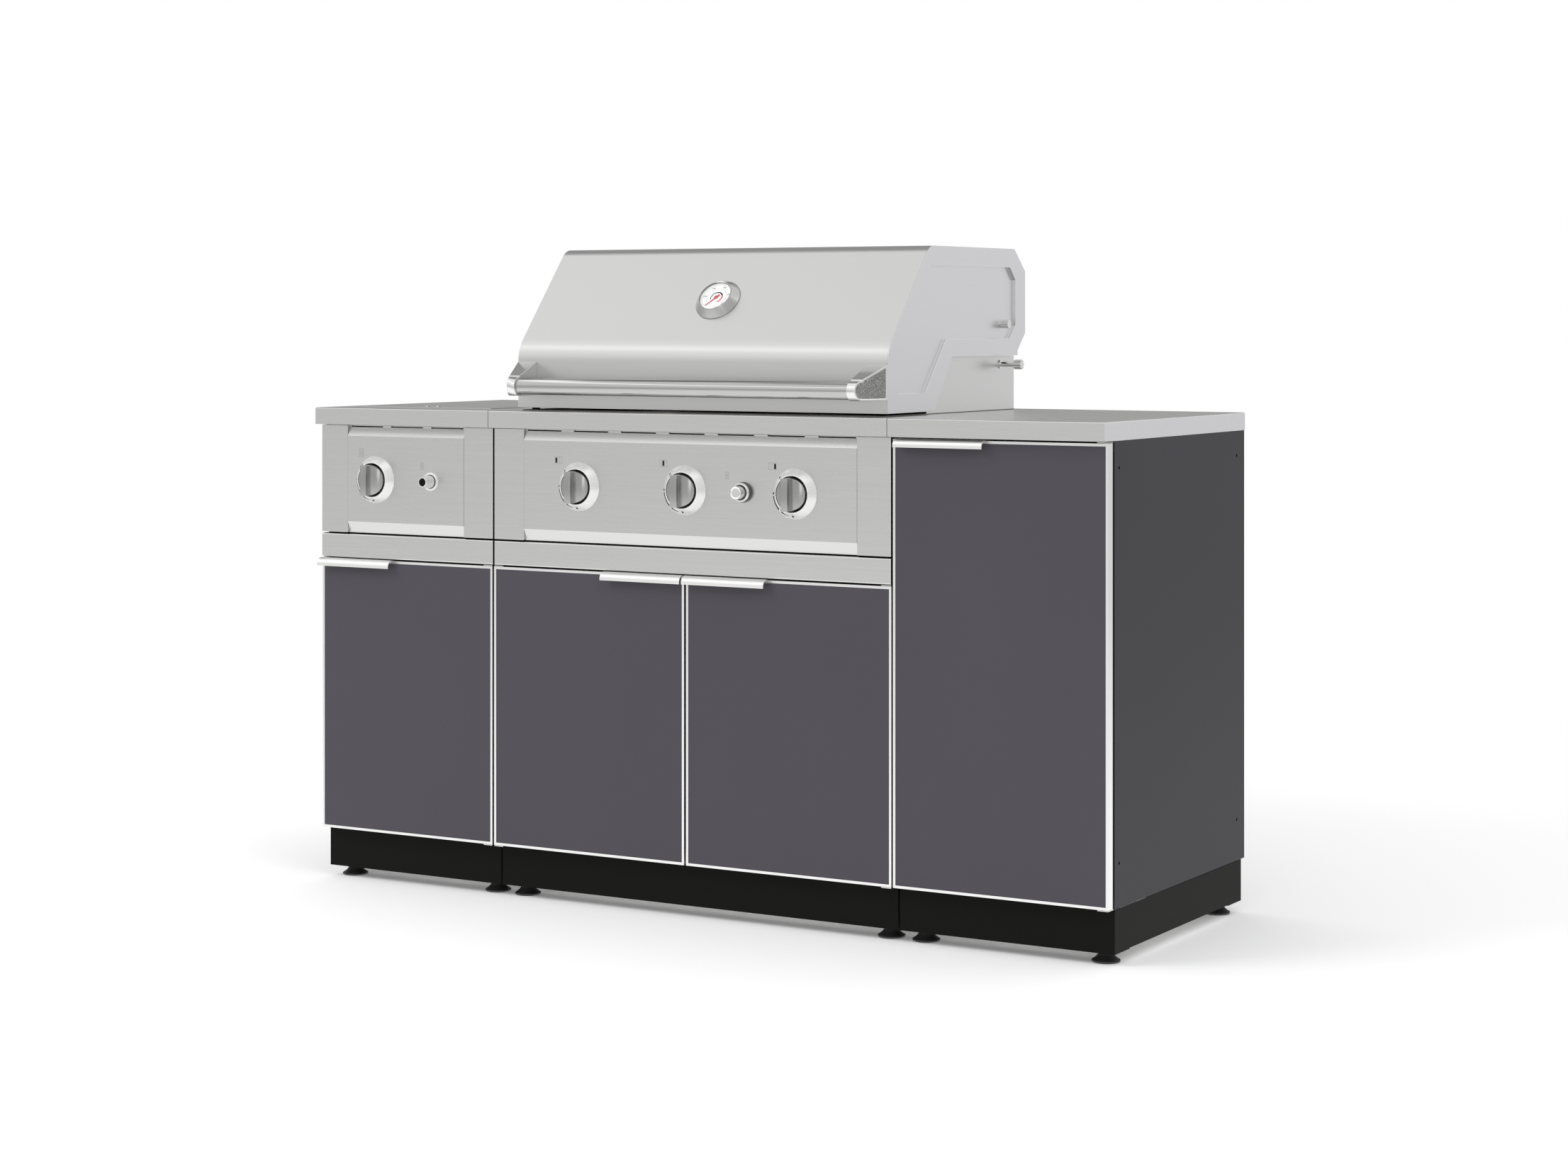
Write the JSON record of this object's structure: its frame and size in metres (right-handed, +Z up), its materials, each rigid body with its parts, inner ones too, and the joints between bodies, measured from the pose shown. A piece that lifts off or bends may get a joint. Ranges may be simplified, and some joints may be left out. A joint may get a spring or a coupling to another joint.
{
  "type": "outdoor kitchen island",
  "caption": "Outdoor kitchen island: joined cabinets on black plinths, steel counter, gas grill under a hinged hood, side burner under a flush lid, and doors with edge pulls",
  "frame": {"origin": "centre of the bounding box in plan, on the floor under the feet", "axes": "+X to the right as seen from the front, along the row of cabinets; +Y from the front to the back; +Z up"},
  "size_m": [1.651, 0.633, 1.2015],
  "materials": {
    "stainless": "brushed, horizontal grain",
    "stainless_bright": "finely brushed, brighter",
    "panel_grey": "satin powder coat, slate grey",
    "door_slate": "satin, slate grey",
    "door_frame_aluminium": "satin anodised",
    "plinth_black": "satin black powder coat",
    "foot_black": "moulded, matt",
    "knob_silver": "satin metallic",
    "button_black": "moulded, gloss",
    "cast_black": "porcelain-coated cast iron",
    "burner_steel": "mill finish",
    "pipe_zinc": "zinc plated",
    "dial_white": "printed plate",
    "needle_red": "enamel",
    "gauge_glass": "clear",
    "screw_steel": "machined"
  },
  "bodies": {
    "cabinet": {"burners": "burner_steel", "cabinet_backs": "panel_grey", "cabinet_floors": "stainless", "cabinet_shelf": "stainless", "cabinet_sides": "panel_grey", "control_bezels": "stainless_bright", "control_plates": "stainless", "cooking_grates": "cast_black", "countertop_left": "stainless_bright", "countertop_middle": "stainless_bright", "countertop_right": "stainless_bright", "cross_rails": "stainless_bright", "door_catches": "button_black", "fascia_stiles": "stainless", "firebox": "burner_steel", "flame_tamers": "burner_steel", "gas_manifold": "pipe_zinc", "grill_surround": "stainless", "hinge_brackets": "screw_steel", "hood_pivot_pins": "screw_steel", "levelling_feet": "foot_black", "module_bolts": "screw_steel", "plinth_boards": "plinth_black", "side_burner_bowl": "stainless", "side_burner_grate": "cast_black", "side_burner_head": "cast_black", "warming_rack": "burner_steel"},
    "left_door": {"left_door_frame": "door_frame_aluminium", "left_door_panel": "door_slate", "left_door_pull": "door_frame_aluminium"},
    "middle_left_door": {"middle_left_door_frame": "door_frame_aluminium", "middle_left_door_panel": "door_slate", "middle_left_door_pull": "door_frame_aluminium"},
    "middle_right_door": {"middle_right_door_frame": "door_frame_aluminium", "middle_right_door_panel": "door_slate", "middle_right_door_pull": "door_frame_aluminium"},
    "right_door": {"right_door_frame": "door_frame_aluminium", "right_door_panel": "door_slate", "right_door_pull": "door_frame_aluminium"},
    "hood": {"hood_skin": "stainless", "hood_sides": "stainless", "hood_arms": "screw_steel", "hood_handle_bar": "stainless_bright", "hood_handle_brackets": "knob_silver", "thermometer_case": "stainless_bright", "thermometer_dial": "dial_white", "thermometer_glass": "gauge_glass"},
    "needle": {"thermometer_needle": "needle_red"},
    "side_lid": {"side_burner_lid": "stainless_bright"},
    "drip_tray": {"drip_tray": "burner_steel"},
    "side_stem": {"side_valve_stem": "screw_steel"},
    "side_knob": {"side_knob": "knob_silver"},
    "left_stem": {"left_valve_stem": "screw_steel"},
    "left_knob": {"left_knob": "knob_silver"},
    "middle_stem": {"middle_valve_stem": "screw_steel"},
    "middle_knob": {"middle_knob": "knob_silver"},
    "right_stem": {"right_valve_stem": "screw_steel"},
    "right_knob": {"right_knob": "knob_silver"},
    "side_button": {"side_igniter_button": "knob_silver"},
    "main_button": {"main_igniter_button": "knob_silver"}
  },
  "joints": [
    {"name": "left_door_hinge", "type": "hinge", "parent": "cabinet", "child": "left_door", "pos_m": [-0.4268, -0.27035, 0.0975], "axis": [0, 0, 1], "range_deg": [0, 85]},
    {"name": "middle_left_door_hinge", "type": "hinge", "parent": "cabinet", "child": "middle_left_door", "pos_m": [-0.4134, -0.27035, 0.0975], "axis": [0, 0, -1], "range_deg": [0, 85]},
    {"name": "middle_right_door_hinge", "type": "hinge", "parent": "cabinet", "child": "middle_right_door", "pos_m": [0.4134, -0.27035, 0.0975], "axis": [0, 0, 1], "range_deg": [0, 90]},
    {"name": "right_door_hinge", "type": "hinge", "parent": "cabinet", "child": "right_door", "pos_m": [0.8192, -0.27035, 0.0975], "axis": [0, 0, 1], "range_deg": [0, 105]},
    {"name": "hood_hinge", "type": "hinge", "parent": "cabinet", "child": "hood", "pos_m": [0.0045, 0.20555, 0.9871], "axis": [-1, 0, 0], "range_deg": [0, 80]},
    {"name": "needle_pivot", "type": "hinge", "parent": "hood", "child": "needle", "pos_m": [0.0045, -0.16981, 1.10477], "axis": [0, 0.7676, -0.6409], "range_deg": [0, 250]},
    {"name": "side_lid_hinge", "type": "hinge", "parent": "cabinet", "child": "side_lid", "pos_m": [-0.6225, 0.21495, 0.8948], "axis": [-1, 0, 0], "range_deg": [0, 90]},
    {"name": "drip_tray_slide", "type": "slide", "parent": "cabinet", "child": "drip_tray", "axis": [0, -1, 0], "range_m": [0, 0.12]},
    {"name": "side_knob_turn", "type": "hinge", "parent": "cabinet", "child": "side_stem", "pos_m": [-0.694, -0.27505, 0.766], "axis": [0, -1, 0], "range_deg": [0, 180]},
    {"name": "side_knob_push", "type": "slide", "parent": "side_stem", "child": "side_knob", "axis": [0, 1, 0], "range_m": [0, 0.004], "stiffness_N_per_m": 800},
    {"name": "left_knob_turn", "type": "hinge", "parent": "cabinet", "child": "left_stem", "pos_m": [-0.2274, -0.27505, 0.766], "axis": [0, -1, 0], "range_deg": [0, 180]},
    {"name": "left_knob_push", "type": "slide", "parent": "left_stem", "child": "left_knob", "axis": [0, 1, 0], "range_m": [0, 0.004], "stiffness_N_per_m": 800},
    {"name": "middle_knob_turn", "type": "hinge", "parent": "cabinet", "child": "middle_stem", "pos_m": [0, -0.27505, 0.766], "axis": [0, -1, 0], "range_deg": [0, 180]},
    {"name": "middle_knob_push", "type": "slide", "parent": "middle_stem", "child": "middle_knob", "axis": [0, 1, 0], "range_m": [0, 0.004], "stiffness_N_per_m": 800},
    {"name": "right_knob_turn", "type": "hinge", "parent": "cabinet", "child": "right_stem", "pos_m": [0.2274, -0.27505, 0.766], "axis": [0, -1, 0], "range_deg": [0, 180]},
    {"name": "right_knob_push", "type": "slide", "parent": "right_stem", "child": "right_knob", "axis": [0, 1, 0], "range_m": [0, 0.004], "stiffness_N_per_m": 800},
    {"name": "side_button_push", "type": "slide", "parent": "cabinet", "child": "side_button", "axis": [0, 1, 0], "range_m": [0, 0.005], "stiffness_N_per_m": 600},
    {"name": "main_button_push", "type": "slide", "parent": "cabinet", "child": "main_button", "axis": [0, 1, 0], "range_m": [0, 0.005], "stiffness_N_per_m": 600}
  ]
}
